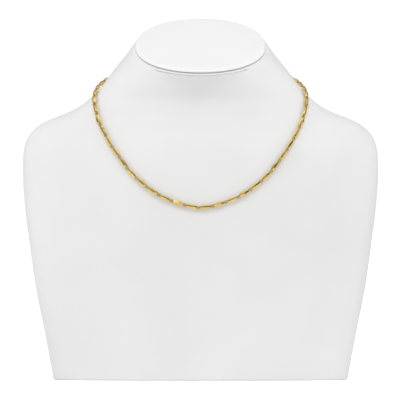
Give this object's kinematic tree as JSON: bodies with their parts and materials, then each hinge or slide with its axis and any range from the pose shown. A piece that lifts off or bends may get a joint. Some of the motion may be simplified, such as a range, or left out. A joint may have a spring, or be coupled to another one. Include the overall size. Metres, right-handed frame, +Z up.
{
  "type": "bar chain necklace on a neck bust",
  "caption": "Gold necklace chain of faceted bars joined by small oval links, closed at the nape and worn on a plain white neck bust with a flat base.",
  "frame": {"origin": "on the bust's flat base, below the middle of its lowest section", "axes": "+Z up, +X towards the viewer's right, so the wearer's left, and the front of the bust faces -Y"},
  "size_m": [0.2306, 0.1219, 0.2352],
  "materials": {
    "bust_cover": "smooth white leatherette with a satin sheen",
    "cap_cover": "smooth white leatherette with a satin sheen",
    "gold": "polished yellow gold"
  },
  "bodies": {
    "root": {"neck_bust": "bust_cover", "neck_cap": "cap_cover", "chain_left": "gold", "chain_right": "gold", "end_link": "gold", "clasp": "gold"}
  },
  "joints": []
}
